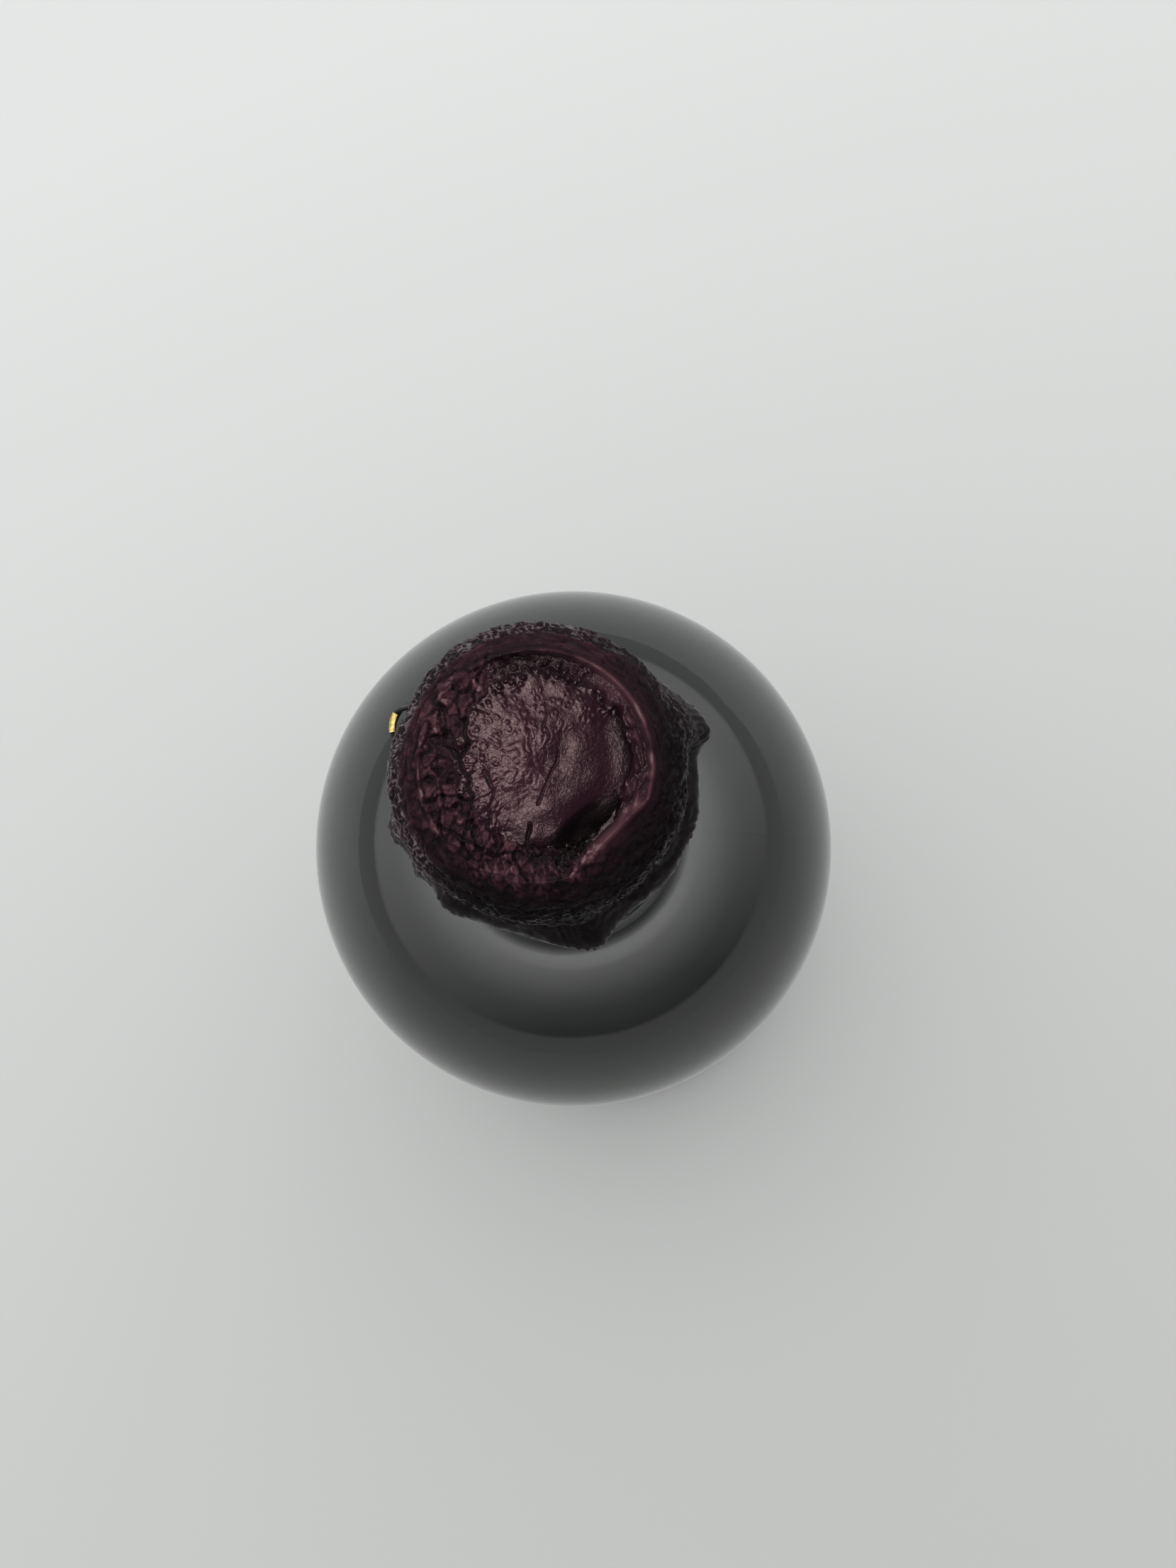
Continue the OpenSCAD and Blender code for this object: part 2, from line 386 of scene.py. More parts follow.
# %% Define the wax's even shape
WAX_T = 1.6
WAX_TOP_T = 1.2
WAX_DROP = 42.0
WAX_EDGE_T = 0.8
BAND_OUT = 0.55
BAND_DOWN = 14.5
BAND_UP = 3.0
BAND_LOW = 4.0
CREASE_IN = 0.3
CREASE_HALF = 0.7
CREASE_FALL = 1.5
DOME_H = 0.3
FOLD_DIST = 11.2
FOLD_DIR = -45.0
LAND_FROM = 0.86
RUN_WIDTH = 9.0
EDGE_WAVE = 1.5
RUNS = [
    (16.5, 2.7, 18, 5, 12, 5, 8, 9),
    (-72, 2.2, 8, 16, 15, 6, 9, 14),
    (-20, 1.2, 45, 90, 15, 3.2, 5, 0),
    (-126, 1.1, 9, 8, 15, 4, 8, 6),
    (217, 0.9, 4, 5, 12, 5, 6, 2),
    (200, 1.5, 7, 8, 12, 5, 9, 11),
    (178, 0.4, 5, 6, 10, 5, 7, 3),
    (154, -1, 16, 14, 9, 9, 9, 0),
    (105, 1.3, 8, 7, 12, 5, 8, 7),
    (62, 0.4, 12, 12, 20, 9, 12, 10),
]
WAX_RING_R = RING_R + WAX_T
WAX_TOP_Z = GLASS_H + WAX_TOP_T
LIP_R = RING_R - RING_ROUND
CREASE_Z = RING_Z - WAX_T / 2
ROLL_Z = WAX_TOP_Z - RING_ROUND - 2.5


def turn(a, b):
    return (a - b + 900) % 360 - 180


def bell(d, plus, minus):
    return hump(d, plus if d > 0 else minus)


def run_out(a, z):
    return sum(out * bell(turn(a, at), plus, minus) * bell(z - GLASS_H + down, up, low)
               for at, out, plus, minus, down, up, low, _ in RUNS)


def edge_z(a):
    runs = sum(run[7] * hump(abs(turn(a, run[0])), RUN_WIDTH, 3) for run in RUNS)
    return GLASS_H - WAX_DROP - EDGE_WAVE * math.sin(math.radians(3 * a + 40)) - runs


def ridge_r(a):
    away = math.cos(math.radians(turn(a, FOLD_DIR)))
    return min(LIP_R, FOLD_DIST / max(away, 0.01))


def side_r(z):
    neck = glass_r(z) + WAX_T
    fall = hump(min(z - CREASE_Z, 0.0), CREASE_FALL)
    band = max(WAX_RING_R + BAND_OUT - neck, 0.0)
    band *= bell(z - GLASS_H + BAND_DOWN, BAND_UP, BAND_LOW)
    crease = CREASE_IN * hump(z - CREASE_Z, CREASE_HALF)
    return mix(neck, WAX_RING_R, fall) + (1 - fall) * band - crease


edges_z = [edge_z(a) for a in range(360)]
print(f"wax from {min(edges_z):.1f} and {max(edges_z):.1f} at its lower edge to {WAX_TOP_Z:.1f}")

# %% [markdown]
# ## The wax: where each ring lies
#
# The disc's rings are shared out between the stretches of the wax: the top, the rolled edge,
# the band round the lip ring, the skirt down the neck, the lower edge, and the hidden inner
# face against the glass. The top has the closest rings, because that is where the finest
# relief shows. A thin rim stands where the top meets the rolled edge, fatter along the fold,
# and a hem stands just above the crease under the lip ring.

# %% Lay the rings
STRETCHES = [("top", 86), ("roll", 26), ("band", 24), ("skirt", 58), ("edge", 4), ("inner", 6)]
RING_COUNT = sum(count for _, count in STRETCHES)
RIM_H = 0.3
RIM_HALF = 0.3
WELT_H = 0.42
WELT_HALF = 0.55
WELT_WIDE = 22.0
ROLL_CUT = 0.3
HEM_H = 0.22
HEM_UP = 0.9
HEM_HALF = 0.4
WAX_GAP = 0.02
EDGE_ROUND = 0.5


def stretch_of(ring):
    for name, count in STRETCHES:
        if ring <= count:
            return name, ring / count
        ring -= count
    return name, 1.0


def rim(away, a):
    welt = hump(turn(a, FOLD_DIR), WELT_WIDE, 6)
    return mix(RIM_H, WELT_H, welt) * hump(away, mix(RIM_HALF, WELT_HALF, welt))


def hem(z):
    return HEM_H * hump(z - CREASE_Z - HEM_UP, HEM_HALF)


def wax_base(ring, a):
    """Radius and height of the even wax, the tilt of its face, and how much relief it takes."""
    name, f = stretch_of(ring)
    low = edge_z(a)
    if name == "top":
        r = ridge_r(a) * f
        dome = DOME_H * max(0.0, 1 - (f / LAND_FROM) ** 2)
        return r, WAX_TOP_Z + dome + rim(ridge_r(a) - r, a), 0.0, 1.0
    if name == "roll":
        t = f * math.pi / 2
        side = side_r(ROLL_Z) + run_out(a, ROLL_Z)
        r = mix(ridge_r(a), side, math.sin(t))
        round_z = mix(ROLL_Z, WAX_TOP_Z, math.cos(t))
        cut_z = mix(WAX_TOP_Z, ROLL_Z, math.sin(t))
        return r, mix(round_z, cut_z, ROLL_CUT) + rim(r - ridge_r(a), a), t, 1.0
    if name == "band":
        z = mix(ROLL_Z, CREASE_Z, f)
        return side_r(z) + run_out(a, z) + hem(z), z, math.pi / 2, 1.0
    if name == "skirt":
        z = mix(CREASE_Z, low, f ** 1.5)
        thin = (WAX_T - WAX_EDGE_T) * f ** 6
        return side_r(z) + run_out(a, z) - thin, z, math.pi / 2, 1.0 - ease(f, 0.9, 1.0)
    if name == "edge":
        t = f * math.pi / 2
        r = glass_r(low) + WAX_GAP + WAX_EDGE_T * math.cos(t)
        return r, low - EDGE_ROUND * math.sin(t), 0.0, 0.0
    z = mix(low - EDGE_ROUND, GLASS_H + WAX_GAP, min(f * 1.3, 1.0))
    wall = glass_r(z) if z < RING_Z else RING_R
    return (wall + WAX_GAP) * (1.0 - ease(f, 0.77, 1.0)), z, 0.0, 0.0


print(RING_COUNT, "rings; the wax's top middle is at", wax_base(0, 0.0)[:2])

# %% [markdown]
# ## The wax: patterns for its relief
#
# Four patterns make most of the relief. `rough` is plain noise at a size in millimetres.
# `folded` is noise folded at zero, which has round backs and sharp valleys like creased skin.
# `cells` gives bubbles and nets, and `flakes` gives plates at their own levels with cracks
# between them. Long cracks cross the leathery side and a few thin ones the disc; each is a
# line from one point to another, with a depth.

# %% Define the patterns
def rough(x, y, z, size, seed=0.0):
    return noise.noise(Vector((x / size + seed, y / size - seed, z / size + 2 * seed)))


def folded(x, y, z, size, seed):
    shift = 0.45 * size * rough(x, y, z, size * 1.7, seed + 5)
    lift = 0.45 * size * rough(y, z, x, size * 1.3, seed + 9)
    return min(1.0, 2.2 * abs(rough(x + shift, y + lift, z - shift, size, seed)))


def cells(x, y, z, size):
    gaps, _ = noise.voronoi(Vector((x / size, y / size, z / size)))
    return gaps[0], gaps[1] - gaps[0]


def flakes(x, y, z, size, slim, seed):
    """The level of the flake at a point, how near its crack is, and how near the band beside its crack
    is, where a highlight is painted.
    """
    u = x + 0.5 * size * rough(x, y, z, size, seed)
    v = y + 0.5 * size * rough(y, x, z, size, seed)
    gaps, middles = noise.voronoi(Vector((u / size + seed, v / (size * slim) - seed, z / size)))
    gap = gaps[1] - gaps[0]
    return noise.noise(middles[0] * 7.3), hump(gap, 0.13), hump(gap - 0.32, 0.13)


CRACKS = [
    (-5, 12.5, -6, 10, 0.3), (-6, 10, -7, 7, 0.3), (-7, 7, -7.8, 5, 0.35),
    (-7.8, 5, -7.5, 2.5, 0.3), (-7.5, 2.5, -8.3, 0.3, 0.35), (-8.3, 0.3, -7.2, -1.4, 0.3),
    (-7.2, -1.4, -6.8, -6.2, 0.25), (-10.5, 6, -9.9, 2.5, 0.3), (-9.9, 2.5, -8.3, 0.7, 0.3),
    (-12.3, -4.1, -9.8, -3, 0.35), (-9.8, -3, -7.4, -3.6, 0.3), (-5, 11.6, -0.2, 12, 0.3),
    (-5.4, -0.4, -4.5, -3.6, 0.12), (-4.5, -3.6, -5.2, -6.5, 0.14), (1.1, 7, 1.3, 3, 0.1),
    (1.3, 3, 1.0, 0.4, 0.1), (2.7, 3.6, 2.5, 1, 0.09), (2.5, 1, 1.9, -0.6, 0.1),
    (1.9, -0.6, 0.3, -4, 0.1), (-1, 4, -0.5, 1.4, 0.08), (-11, -6, -6, -9, 0.25),
    (-0.3, -6.4, -1.2, -8.8, 0.25), (-6, -9.6, -1, -9.4, 0.3), (-8.5, -8, -5, -11.5, 0.3),
    (4.8, 9.2, 6, 10.2, 0.15),
]
CRACK_REACH = 1.2


def crack_depth(x, y):
    x, y = x + 0.6 * rough(x, y, 0, 1.3, 40), y + 0.6 * rough(x, y, 0, 1.3, 44)
    total = 0.0
    for x0, y0, x1, y1, depth in CRACKS:
        long2 = (x1 - x0) ** 2 + (y1 - y0) ** 2
        share = min(max(((x - x0) * (x1 - x0) + (y - y0) * (y1 - y0)) / long2, 0.0), 1.0)
        far = math.hypot(x - mix(x0, x1, share), y - mix(y0, y1, share))
        if far < CRACK_REACH:
            wide = 0.07 + 0.25 * depth
            lips = 0.3 * depth * hump(far - 2.5 * wide, wide)
            total = max(total, depth * hump(far, wide) - lips)
    return total


print(len(CRACKS), "stretches of crack, the deepest", max(crack[4] for crack in CRACKS), "mm")

# %% [markdown]
# ## The wax: the relief of the top
#
# The middle is a smooth dark disc over the cork, a little off centre, with low bubbles and a few thin
# cracks. Round it the wax is crumpled like old leather on the left and below: flakes at their own levels
# with cracks between them. On the right it is streaked and paler. Each function gives a height in
# millimetres, a tone from 0, black, to 1, pale, and how crumpled the face is. The tone holds painted
# light and shade besides the wax's own colour: a painted highlight left of the middle, along the rim and
# on the fold's welt, and painted shade in the cracks and in a hollow below and right of the middle.

# %% Define the relief of the top
DISC_R = 9.6
DISC_OFF = 1.1
DISC_DIR = 40.0
PAINTED_SHADE_HOLLOW_AT = (5.0, -7.5)
DIAGONAL = 0.7071
RIM_HIGHLIGHT_DIR = 38.0
TOP_CAP = 0.18


def facing(a, middle, half):
    """1 where direction a is within half degrees of the middle, and 0 past one and a half."""
    return 1 - ease(abs(turn(a, middle)), half, 1.5 * half)


def top_relief(x, y, z, f):
    r, a = max(math.hypot(x, y), 0.01), math.degrees(math.atan2(y, x))
    wave, wavelet = rough(x, y, z, 1.7, 3), rough(x, y, z, 0.8, 6)
    past = r + 0.8 * wave + 0.35 * wavelet - DISC_R - DISC_OFF * math.cos(math.radians(a - DISC_DIR))
    border = ease(past, -0.25, 0.35)
    left = ease(-x - 0.25 * y + wave, 1.0, 5.0)
    low = ease(-y - 0.25 * x + wave, 6.0, 8.0)
    leather = max(border * max(left, low), 0.15 * ease(-x - 0.3 * y + 1.5 * wave, 3.0, 8.0))
    land = border * (1 - leather) * (1 - ease(f, 1.0, 1.05))
    big, big_crack, big_lip_highlight = flakes(x, y, z, 1.7, 1.6, 1)
    small, small_crack, small_lip_highlight = flakes(x, y, z, 0.7, 1.7, 2)
    worms = folded(x, y, z, 0.9, 15)
    streaks = folded(r, a * 0.07, 0, 0.75, 31)
    near, _ = cells(x, y, z, 0.85)
    ring = hump(near - 0.32, 0.1) - 0.6 * hump(near, 0.2)
    middle = (1 - border) * (1 - leather)
    bubbly = max(ease(y - 0.2 * x + wave, 2.0, 5.0), ease(-x, 2.5, 5.0), 0.15)
    # Painted highlight left of the middle, where the lamp shows on the disc; the same zone gets a little
    # more relief.
    painted_highlight_zone = math.exp(-((x + 2.0) / 3.6) ** 2 - ((y - 1.0) / 5.0) ** 2)
    # A shallow hollow below and right of the middle, darkened with painted shade.
    off = x - PAINTED_SHADE_HOLLOW_AT[0], y - PAINTED_SHADE_HOLLOW_AT[1]
    along, across = (off[0] + off[1]) * DIAGONAL, (off[0] - off[1]) * DIAGONAL
    painted_shade_hollow = math.exp(-(along / 5.0) ** 4 - ((across - 0.03 * along ** 2 + 0.15) / 1.8) ** 4)
    height = 0.08 * rough(x, y, z, 4.5, 11) + 0.05 * rough(x, y, z, 2.2, 12) - 0.04 * land - 0.05 * painted_shade_hollow
    height += leather * (0.34 * big - 0.2 * big_crack + 0.26 * small - 0.1 * small_crack
                         + 0.16 * (worms - 0.5))
    side_land = land * facing(a, 0, 26)
    height += side_land * 0.26 * (streaks - 0.5) + land * facing(a, 85, 22) * 0.12 * ring
    height += middle * (1 - painted_shade_hollow) * (0.03 * bubbly * ring + 0.03 * painted_highlight_zone * (worms - 0.4))
    beads = hump(past + 0.5, 0.5) * facing(a, 85, 40)
    height += 0.13 * beads * hump(near, 0.3)
    crack = crack_depth(x, y)
    height -= crack
    welt = facing(a, FOLD_DIR, WELT_WIDE) * hump(f - 0.97, 0.06, 4)
    # The disc's tone holds the painted highlight left of the middle and a little painted light and shade
    # on the bubbles.
    tone_and_painted_light = 0.41 + 0.1 * rough(x, y, z, 3.5, 17) + 0.05 * middle * bubbly * ring + 0.14 * painted_highlight_zone
    # Painted light and shade on the leather: higher flakes paler, cracks darker, and a painted highlight
    # along each crack's edge.
    tone_and_painted_light += leather * (0.2 * big + 0.3 * small - 0.3 * big_crack - 0.2 * small_crack + 0.14)
    tone_and_painted_light += leather * (0.1 * big_lip_highlight + 0.24 * small_lip_highlight * (0.4 + small))
    tone_and_painted_light += (0.13 * land * facing(a, 50, 16) + side_land * 0.32 * (streaks - 0.35)
             - 0.2 * land * facing(a, 85, 22))
    # Painted shade darkens the cracks and the hollow; a darker band also runs just inside the disc's
    # edge.
    tone_and_painted_light -= 1.3 * max(crack, 0.0) + 0.6 * painted_shade_hollow + 0.14 * middle * hump(past + 0.4, 0.6)
    # Painted highlight: a pale line along the rim, strongest in one direction, and a broader one on the
    # fold's welt.
    rim_highlight_line = hump(f - 1, 0.02) * (0.8 + rough(x, y, z, 1.5, 19))
    tone_and_painted_light += rim_highlight_line * (0.05 + 0.36 * facing(a, RIM_HIGHLIGHT_DIR, 45) + 0.25 * facing(a, 180, 12)) + 0.38 * welt
    crumple = max(leather, 0.5 * land, 0.12) * (1 - 0.8 * painted_shade_hollow)
    calm = 1 - 0.7 * hump(f - 1, 0.04)
    return min(height * calm, TOP_CAP), min(max(tone_and_painted_light, 0.0), 1.0), crumple


middle = top_relief(0.0, 0.0, WAX_TOP_Z, 0.0)
print("height, tone and crumple in the middle:", [round(value, 3) for value in middle])

# %% [markdown]
# ## The wax: the relief of the sides
#
# The sides have lazy folds that lie along the ring, and over them a fine net of raised threads, like
# lizard skin. The net is strong only high up; low down the wax is calmer. The fattest runs have ripples
# round their tips. The sides are nearly black, and painted shade makes them blackest on the side away
# from the light and darker in the groove and the folds' valleys. The net's threads are painted pale grey
# as a reflection, strongest towards the room's bright side and missing on the shaded side, and painted
# highlights lie on the streaks of the rolled edge on that side and along the hem.

# %% Define the relief of the sides
MM_PER_DEGREE = 0.29
SHADE_DIR = -55.0


def ripples(a, z):
    total = 0.0
    for at, out, _, _, down, *_ in RUNS:
        far = math.hypot(turn(a, at) * MM_PER_DEGREE, 0.8 * (z - GLASS_H + down))
        total += 0.09 * math.sin(far * 8.0) * hump(far, 2.6) * min(out, 1.5)
    return total


def side_relief(x, y, z, a, down):
    c, s = math.cos(math.radians(a)), math.sin(math.radians(a))
    warp = 0.35 * rough(x, y, z, 1.6, 4)
    _, gap = cells(13 * c + warp, 13 * s + warp, 1.5 * down + warp, 0.85)
    net = hump(gap, 0.12)
    lazy = folded(14 * c, 14 * s, 2.2 * down, 2.6, 23)
    small = folded(13 * c, 13 * s, 1.8 * down, 0.9, 24)
    streak = folded(6 * c, 6 * s, 2.6 * down, 1.2, 27)
    roll = facing(a, 125, 60) * (1 - ease(down, 3.0, 4.5))
    groove = hump(down - 0.75, 0.35) - 0.6 * hump(down - 1.5, 0.3)
    groove *= facing(a, 40, 60)
    upper = ease(z, GLASS_H - 15, GLASS_H - 9)
    height = 0.36 * (lazy - 0.5) + 0.22 * (small - 0.5) + 0.13 * net
    height = mix(0.4, 1.0, upper) * height + 0.14 * rough(x, y, z, 4.0, 21)
    height += 0.3 * roll * (streak - 0.5) - 0.25 * groove
    # Painted shade: darkest on the side away from the light, in the groove and in the lazy folds'
    # valleys.
    shade = facing(a, SHADE_DIR, 60)
    tone_and_painted_light = 0.2 - 0.14 * shade + 0.08 * rough(x, y, z, 3.0, 26) - 0.3 * max(groove, 0)
    # Painted reflection: the net's threads are paler towards the room's bright side.
    tone_and_painted_light += net * (1 - shade) * ease(down, 2.5, 4.5) * (0.25 + 0.55 * facing(a, 150, 70)) * upper
    # Painted highlight on the rolled edge's streaks, on the bright side.
    tone_and_painted_light += 0.42 * roll * streak + 0.12 * roll * small
    tone_and_painted_light += 0.14 * (1 - upper) * small - 0.3 * max(0.0, 0.4 - lazy)
    # Painted highlight along the hem.
    tone_and_painted_light += 0.5 * hump(z - CREASE_Z - HEM_UP, 0.2)
    return height + ripples(a, z), min(max(tone_and_painted_light, 0.0), 1.0), mix(0.35, 1.0, upper)


print("ripples at the tip of the first run:", round(ripples(RUNS[0][0], GLASS_H - RUNS[0][4]), 3))

# %% [markdown]
# ## Spin the disc and lay it on the bottle
#
# A chain of edges along X, one for each ring, is spun into the flat disc. Each point then moves to its
# own place, and the relief pushes it out along the face. Three values of each point are kept with the
# mesh as attributes, so that the finish can follow the shape: its tone, which also holds painted light
# and shade, how crumpled it is, and how far it lies on the flank.

# %% Make the wax
WAX_STEPS = 480
HIDDEN_PAINT = (0.3, 1.0, 1.0)


def wax_point(ring, a):
    r, z, tilt, depth = wax_base(ring, a)
    c, s = math.cos(math.radians(a)), math.sin(math.radians(a))
    paint = HIDDEN_PAINT
    if depth > 0:
        x, y = r * c, r * s
        side = min(1.0, 1.6 * math.sin(tilt))
        top = top_relief(x, y, z, r / ridge_r(a)) if side < 1 else (0, 0, 0)
        down = abs(r - ridge_r(a)) + WAX_TOP_Z - z
        flank = side_relief(x, y, z, a, down) if side > 0 else (0, 0, 0)
        relief = depth * mix(top[0], flank[0], side)
        paint = (mix(top[1], flank[1], side), mix(top[2], flank[2], side), side)
        r += relief * math.sin(tilt)
        z += relief * math.cos(tilt)
    return Vector((r * c * MM, r * s * MM, z * MM)), paint


def make_wax_mesh():
    bm = bmesh.new()
    chain = [bm.verts.new((i / RING_COUNT, 0, 0)) for i in range(RING_COUNT + 1)]
    edges = [bm.edges.new(pair) for pair in zip(chain, chain[1:])]
    bmesh.ops.spin(bm, geom=chain + edges, cent=(0, 0, 0), axis=(0, 0, 1), angle=math.tau,
                   steps=WAX_STEPS, use_merge=True)
    bmesh.ops.remove_doubles(bm, verts=bm.verts[:], dist=1e-6)
    layers = [bm.verts.layers.float.new(name) for name in ("tone_and_painted_light", "crumple", "flank")]
    for v in bm.verts:
        ring = round(v.co.to_2d().length * RING_COUNT)
        v.co, paint = wax_point(ring, math.degrees(math.atan2(v.co.y, v.co.x)) if ring else 0.0)
        for layer, value in zip(layers, paint):
            v[layer] = value
    bmesh.ops.remove_doubles(bm, verts=bm.verts[:], dist=1e-7)
    bmesh.ops.recalc_face_normals(bm, faces=bm.faces[:])
    return bm

# %% [markdown]
# ## The wax's finish
#
# Sealing wax is a coloured resin with a soft gloss. Its colour follows the tone attribute, which holds
# the wax's own burgundy together with painted light: near-black painted shade in the cracks, folds and
# hollow, and a pinkish grey painted highlight on the rim, on the fold's welt and left of the middle. On
# the flank a second, grey ramp takes over most of the colour, and its pale end is a painted reflection
# on the net's threads. The relief above is in the mesh, and the bump adds only what is half a millimetre
# or finer. A low specular level keeps the dark colour from washing out.

# %% Make the wax finish
# Wax colours by tone, from near-black painted shade through the burgundy to the pinkish grey of painted
# highlights.
BURGUNDY_SHADE_TO_HIGHLIGHT = [(0.0, (0.0005, 0.0003, 0.0004)), (0.25, (0.0028, 0.0008, 0.0019)),
            (0.5, (0.0160, 0.0048, 0.0088)), (0.8, (0.050, 0.020, 0.025)),
            (1.0, (0.105, 0.068, 0.070))]
# Flank colours, from near-black painted shade to the pale grey painted reflection on the net's threads.
FLANK_GREYS_AND_SHEEN = [(0.0, (0.0006, 0.0005, 0.0006)), (0.5, (0.014, 0.010, 0.012)),
         (1.0, (0.12, 0.108, 0.113))]


def make_wax():
    material, tree, shader, place = new_material("burgundy_wax")
    tone_and_painted_light = add_attribute(tree, "tone_and_painted_light")
    colour = add_ramp(tree, tone_and_painted_light, BURGUNDY_SHADE_TO_HIGHLIGHT)
    flank_greys_and_sheen = add_ramp(tree, tone_and_painted_light, FLANK_GREYS_AND_SHEEN)
    flank = add_attribute(tree, "flank")
    colour = add_blend(tree, add_range(tree, flank, 0.9, 1.0, 0, 0.7), colour, flank_greys_and_sheen)
    tree.links.new(colour, shader.inputs["Base Color"])
    fine = add_noise(tree, place, 0.5, detail=4.0, rough=0.6, warp=1.0)
    net = add_range(tree, add_cells(tree, place, 0.45, 1.8), 0.0, 0.12, 1.0, 0.0)
    grain = add_noise(tree, place, 0.16, detail=2.0)
    crumple = add_attribute(tree, "crumple")
    strength = add_range(tree, crumple, 0, 1, 0.1, 1)
    normal = add_bump(tree, fine, 0.07, share=strength)
    normal = add_bump(tree, net, 0.012, normal, strength)
    normal = add_bump(tree, grain, 0.002, normal)
    tree.links.new(normal, shader.inputs["Normal"])
    tree.links.new(add_range(tree, flank, 0, 1, 0.17, 0.28), shader.inputs["Roughness"])
    shader.inputs["Specular IOR Level"].default_value = 0.06
    shader.inputs["Specular Tint"].default_value = (1.0, 0.74, 0.76, 1)
    return material


add_piece("wax", make_wax_mesh(), make_wax(), "wax_seal")

# %% [markdown]
# ## The pull strip
#
# A thin black tape was wound round the neck under the wax, and one loop of it stands out. It
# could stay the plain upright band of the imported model, but real tape twists: it leans against
# the wax where it comes out, stands upright under the clip, and leans again on its way back in,
# with a small bulge there. A grid becomes the tape: along it the points follow the loop, and
# across it they rise and lean.

# %% Bend the strip
STRIP_T = 0.4
STRIP_W = 3.0
STRIP_OUT = 1.6
STRIP_SUNK = 1.2
STRIP_FROM = 135.5
STRIP_SPAN = 35.5
STRIP_SKEW = 1.3
BAND_R = WAX_RING_R + BAND_OUT
STRIP_LOW = GLASS_H - BAND_DOWN - STRIP_W / 2
LEAN_IN = 1.2
LEAN_BACK = 0.7
BOW = 0.35
BULGE = 0.75


def strip_point(t, up):
    a = math.radians(STRIP_FROM + STRIP_SPAN * t)
    crest = BAND_R + STRIP_OUT - STRIP_T / 2
    r = mix(BAND_R - STRIP_SUNK, crest, math.sin(math.pi * t ** STRIP_SKEW))
    r += BOW * hump(t - 0.3, 0.16) + BULGE * hump(t - 0.88, 0.07)
    lean = LEAN_IN * (1 - ease(t, 0.4, 0.56)) + LEAN_BACK * ease(t, 0.75, 0.88)
    r -= lean * up
    return Vector((r * math.cos(a), r * math.sin(a), STRIP_LOW + STRIP_W * up)) * MM


def make_strip_mesh():
    bm = bmesh.new()
    bmesh.ops.create_grid(bm, x_segments=64, y_segments=8, size=0.5)
    for v in bm.verts:
        v.co = strip_point(v.co.x + 0.5, v.co.y + 0.5)
    bmesh.ops.recalc_face_normals(bm, faces=bm.faces[:])
    for v in bm.verts:
        v.normal_update()
    for v in bm.verts:
        v.co += v.normal * STRIP_T * MM / 2
    bmesh.ops.solidify(bm, geom=bm.faces[:], thickness=STRIP_T * MM)
    bmesh.ops.recalc_face_normals(bm, faces=bm.faces[:])
    return bm


print(f"the loop stands {STRIP_OUT} mm out of the wax over {STRIP_SPAN} degrees")

# %% [markdown]
# ## The strip's finish
#
# The tape is a matt black plastic film. It could be one flat black, but a faint streakiness in
# its colour and gloss keeps it from looking like a hole beside the wax.

# %% Make the strip's finish
def make_strip():
    material, tree, shader, place = new_material("black_strip")
    streaks = add_noise(tree, place, 0.8, detail=2.0)
    colour = add_ramp(tree, streaks, [(0.3, (0.004, 0.0045, 0.004)), (0.7, (0.009, 0.010, 0.009))])
    tree.links.new(colour, shader.inputs["Base Color"])
    tree.links.new(add_range(tree, streaks, 0.3, 0.7, 0.42, 0.55), shader.inputs["Roughness"])
    shader.inputs["Specular IOR Level"].default_value = 0.12
    return material


add_piece("strip", make_strip_mesh(), make_strip(), "pull_strip")

# %% [markdown]
# ## The gold clip
#
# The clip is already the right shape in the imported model, so it keeps its own mesh and only
# takes a finish: thin brass with a pale gold plating. A ramp across its width makes it darker
# at its two long edges, where the bent metal turns away from the light.

# %% Finish the clip
CLIP_OUT = (-0.988, 0.152, 0)
CLIP_INNER = 17.35
CLIP_OUTER = 18.05


def make_gold():
    material, tree, shader, place = new_material("pale_gold")
    shader.inputs["Metallic"].default_value = 1.0
    brushed = add_noise(tree, place, 0.4, detail=2.0)
    across = add_along(tree, place, CLIP_OUT)
    width = add_range(tree, across, CLIP_INNER * MM, CLIP_OUTER * MM, 0, 1)
    colour = add_ramp(tree, width, [(0.15, (0.11, 0.085, 0.025)), (0.38, (0.24, 0.195, 0.075)),
                                    (0.6, (0.22, 0.175, 0.065)), (0.85, (0.085, 0.07, 0.02))])
    tree.links.new(colour, shader.inputs["Base Color"])
    tree.links.new(add_range(tree, brushed, 0.3, 0.7, 0.38, 0.5), shader.inputs["Roughness"])
    return material


clip_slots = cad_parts["gold_clip"].data.materials
clip_slots.clear()
clip_slots.append(make_gold())
print("the clip's finish:", clip_slots[0].name)

# %% [markdown]
# ## The table
#
# The bottle stands on a plain pale table. A lamp could make one side of it brighter, but it would also
# show in the glass. So that lamp's light is painted into the table's grey instead, which fades a little
# from one side to the other.

# %% Lay the floor
FLOOR_HALF = 0.9
PAINTED_LIGHT_WAY = (-0.35, 0.94, 0)
PAINTED_LIGHT_HALF = 0.2


def make_table():
    material, tree, shader, place = new_material("pale_table")
    # Painted light: the table's grey is lighter towards one side, as a lamp there would make it.
    painted_light_fade = add_range(tree, add_along(tree, place, PAINTED_LIGHT_WAY), -PAINTED_LIGHT_HALF, PAINTED_LIGHT_HALF, 0, 1)
    colour = add_ramp(tree, painted_light_fade, [(0.0, (0.352, 0.356, 0.351)), (1.0, (0.500, 0.504, 0.501))])
    tree.links.new(colour, shader.inputs["Base Color"])
    shader.inputs["Roughness"].default_value = 0.7
    shader.inputs["Specular IOR Level"].default_value = 0.2
    return material


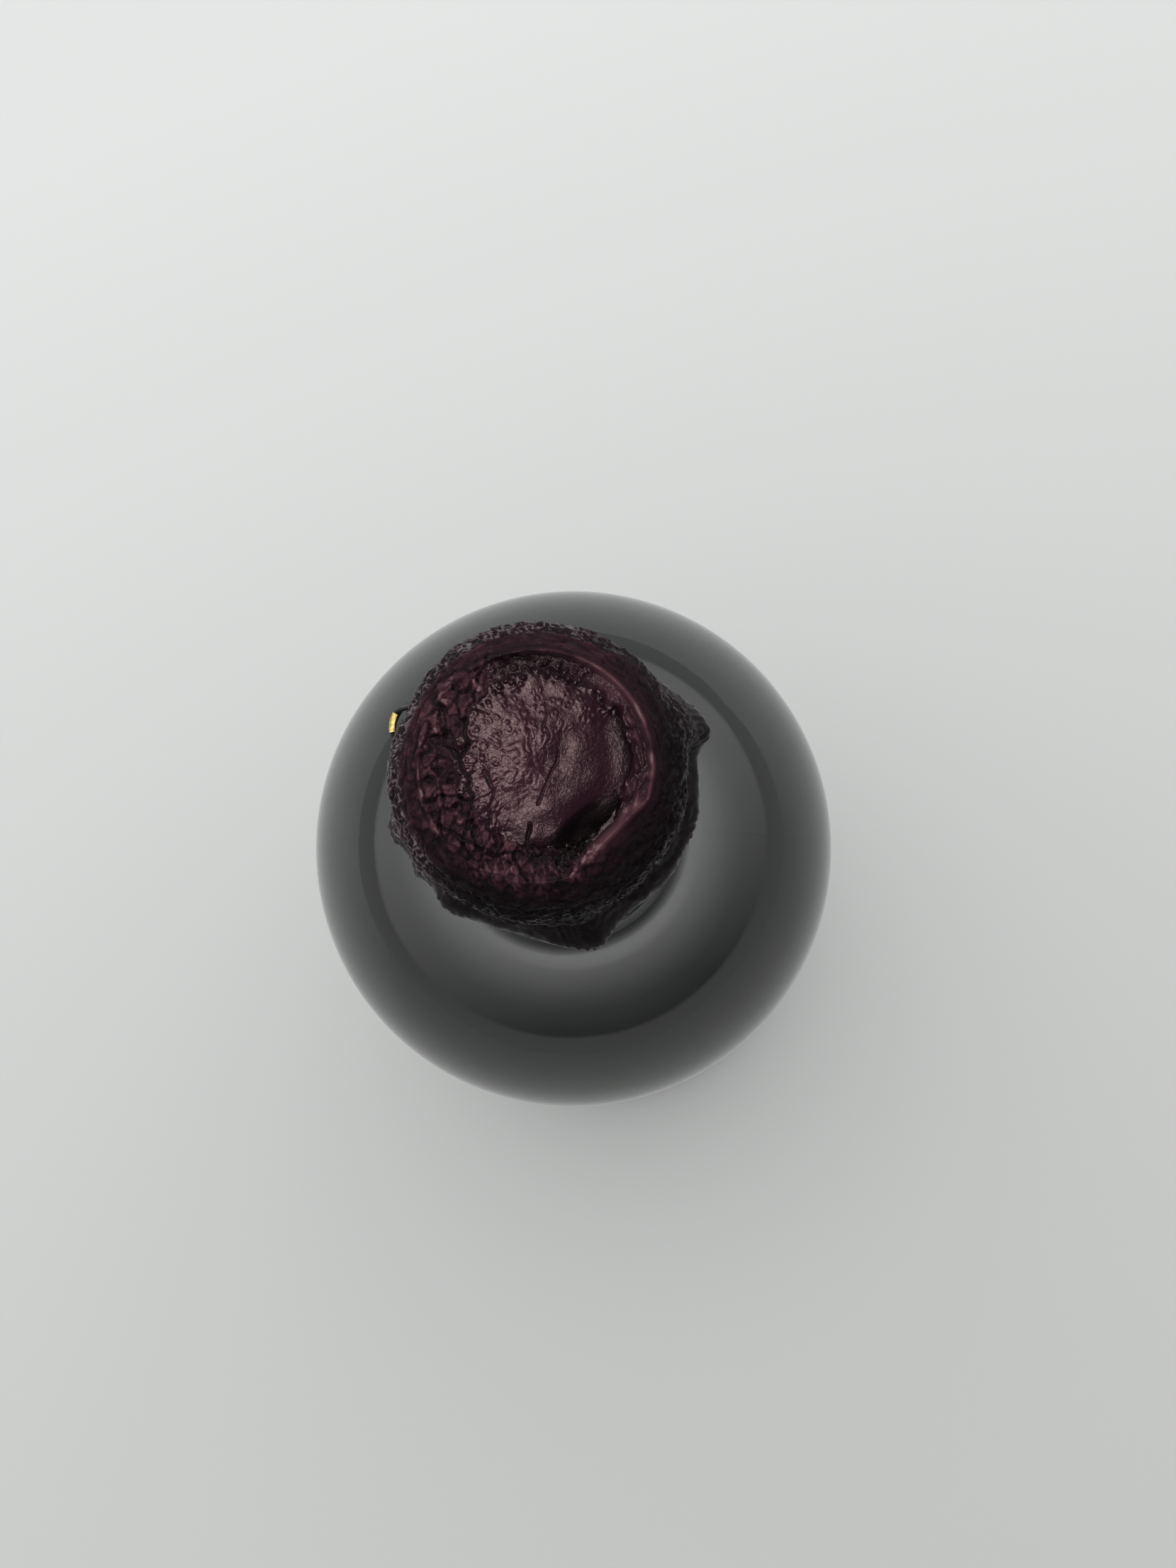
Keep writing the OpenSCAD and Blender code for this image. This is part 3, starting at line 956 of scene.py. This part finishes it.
floor_bm = bmesh.new()
bmesh.ops.create_grid(floor_bm, x_segments=2, y_segments=2, size=FLOOR_HALF)
floor_mesh = bpy.data.meshes.new("table")
floor_bm.to_mesh(floor_mesh)
floor_bm.free()
floor_mesh.materials.append(make_table())
table = bpy.data.objects.new("table", floor_mesh)
bpy.context.scene.collection.objects.link(table)
print("table", 2 * FLOOR_HALF, "m square")

# %% [markdown]
# ## The light
#
# Glass shows its surroundings more than its own colour, so the light is the room itself: a grey
# sky with a bright side and a dim side, each with its own brightness by height. The round
# shoulder mirrors the low, dim part as a dark ring, and the dark part overhead keeps the wax
# from washing out. One small lamp overhead lights nothing softly. It shows only as the
# highlight on glossy faces.

# %% Light the room
ROOM_POWER = 3.2
AWAY = (0.35, -0.94, 0.0)
BRIGHT_SIDE = [(0.48, 0.19), (0.50, 0.40), (0.62, 0.48), (0.69, 0.60), (0.80, 0.95),
               (0.89, 1.0), (0.93, 0.45), (0.96, 0.14), (1.0, 0.1)]
DIM_SIDE = [(0.48, 0.17), (0.50, 0.07), (0.62, 0.13), (0.69, 0.22), (0.80, 0.45),
            (0.835, 0.8), (0.87, 0.35), (0.90, 0.1), (1.0, 0.08)]
LAMP_AT = Vector((-0.25, 0.21, 1.9))
LAMP_AIM = Vector((0, 0, 0.3))
LAMP_SIZE = 0.26
LAMP_WATTS = 16


def greys(stops):
    return [(at, (0.99 * value, value, 0.995 * value)) for at, value in stops]


def make_room():
    world = bpy.data.worlds.new("room")
    world.use_nodes = True
    tree = world.node_tree
    sky = tree.nodes["Background"]
    way = tree.nodes.new("ShaderNodeTexCoord").outputs["Generated"]
    height = add_range(tree, add_along(tree, way, (0, 0, 1)), -1, 1, 0, 1)
    bright = add_ramp(tree, height, greys(BRIGHT_SIDE))
    dim = add_ramp(tree, height, greys(DIM_SIDE))
    share = add_range(tree, add_along(tree, way, AWAY), -0.4, 0.9, 0, 1)
    tree.links.new(add_blend(tree, share, bright, dim), sky.inputs["Color"])
    sky.inputs["Strength"].default_value = ROOM_POWER
    bpy.context.scene.world = world


def add_lamp():
    light = bpy.data.lights.new("ceiling_lamp", "AREA")
    light.shape = "RECTANGLE"
    light.size = light.size_y = LAMP_SIZE
    light.energy = LAMP_WATTS
    light.color = (1, 0.94, 0.92)
    lamp = bpy.data.objects.new("ceiling_lamp", light)
    lamp.location = LAMP_AT
    lamp.rotation_euler = (LAMP_AIM - LAMP_AT).to_track_quat("-Z", "Y").to_euler()
    lamp.visible_diffuse = False
    bpy.context.scene.collection.objects.link(lamp)


make_room()
add_lamp()
print("the room's brightest grey:", max(value for _, value in BRIGHT_SIDE) * ROOM_POWER)

# %% [markdown]
# ## The camera
#
# The camera looks down the bottle from about 0.3 m over the lip, a little from one side. A
# longer lens from further off could frame the same lip, but the body below it would then look
# larger beside it. So the distance is settled first and the lens after it.

# %% Place the camera
SENSOR = 36.0
CLIP_START = 0.01
LENS = 68.3
TOP = Vector((0, 0, WAX_TOP_Z * MM))
CAMERA_AWAY = 0.3228
CAMERA_TILT = math.radians(6.75)
CAMERA_SIDE = math.radians(-64.9)
AIM_OFF = (5.73, -1.95, 0)
AIM = TOP + Vector(AIM_OFF) * MM

camera_data = bpy.data.cameras.new("camera")
camera_data.sensor_width = SENSOR
camera_data.lens = LENS
camera_data.clip_start = CLIP_START
camera = bpy.data.objects.new("camera", camera_data)
lean = Vector((math.sin(CAMERA_TILT) * math.cos(CAMERA_SIDE),
               math.sin(CAMERA_TILT) * math.sin(CAMERA_SIDE), math.cos(CAMERA_TILT)))
eye = TOP + lean * CAMERA_AWAY
ahead = (AIM - eye).normalized()
right = ahead.cross(Vector((0, 1, 0))).normalized()
up = right.cross(ahead)
camera.matrix_world = Matrix.Translation(eye) @ Matrix((right, up, -ahead)).transposed().to_4x4()
bpy.context.scene.collection.objects.link(camera)
bpy.context.scene.camera = camera
bpy.context.scene.view_settings.view_transform = "Standard"
print(f"camera at {eye.z:.3f} m, {CAMERA_AWAY} m from the top of the wax")
